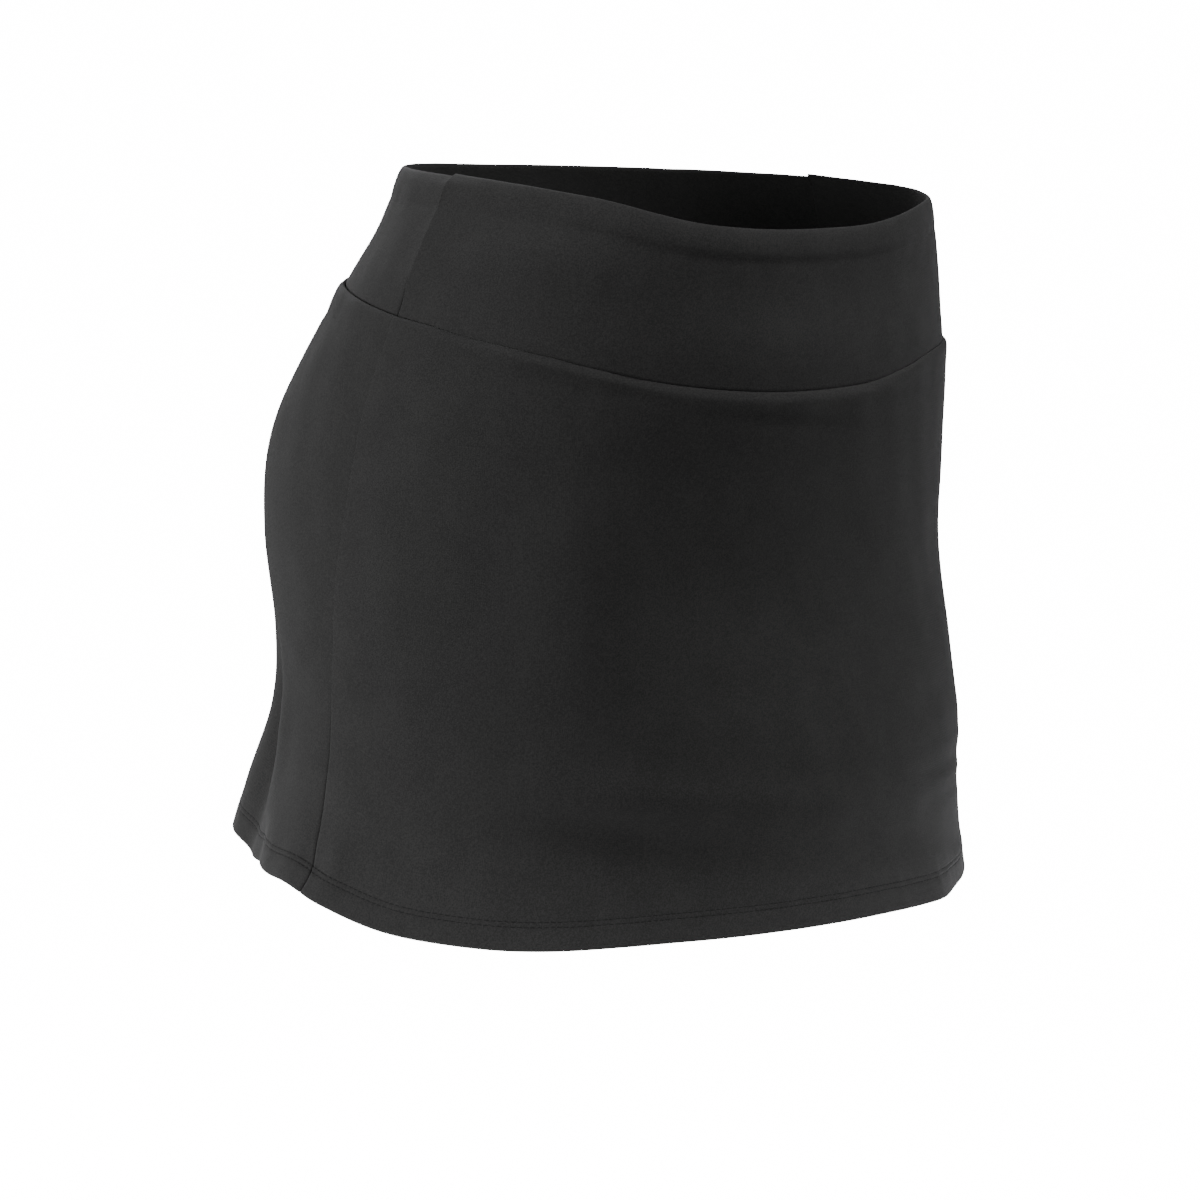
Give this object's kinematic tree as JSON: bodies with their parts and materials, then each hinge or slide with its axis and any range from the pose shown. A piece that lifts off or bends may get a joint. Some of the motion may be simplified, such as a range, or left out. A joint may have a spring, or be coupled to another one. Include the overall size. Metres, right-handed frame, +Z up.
{
  "type": "yoga skort",
  "caption": "Worn, hollow yoga skort in knit cloth: wide waistband, flared skirt with a turned hem, and short inner shorts.",
  "frame": {"origin": "middle of the waist's opening, level with the rim at the centre back, where the wearer's waist holds the garment", "axes": "+Z up through the waist, -Y towards the front, -X towards the wearer's right, +X towards the wearer's left"},
  "size_m": [0.391, 0.3065, 0.334],
  "materials": {
    "outer_knit": "charcoal double knit, matt with a faint nap",
    "shorts_knit": "black light knit, matt"
  },
  "bodies": {
    "root": {"waistband_front": "outer_knit", "waistband_back": "outer_knit", "skirt_front": "outer_knit", "skirt_back": "outer_knit", "shorts_front_right": "shorts_knit", "shorts_front_left": "shorts_knit", "shorts_back_right": "shorts_knit", "shorts_back_left": "shorts_knit"}
  },
  "joints": []
}
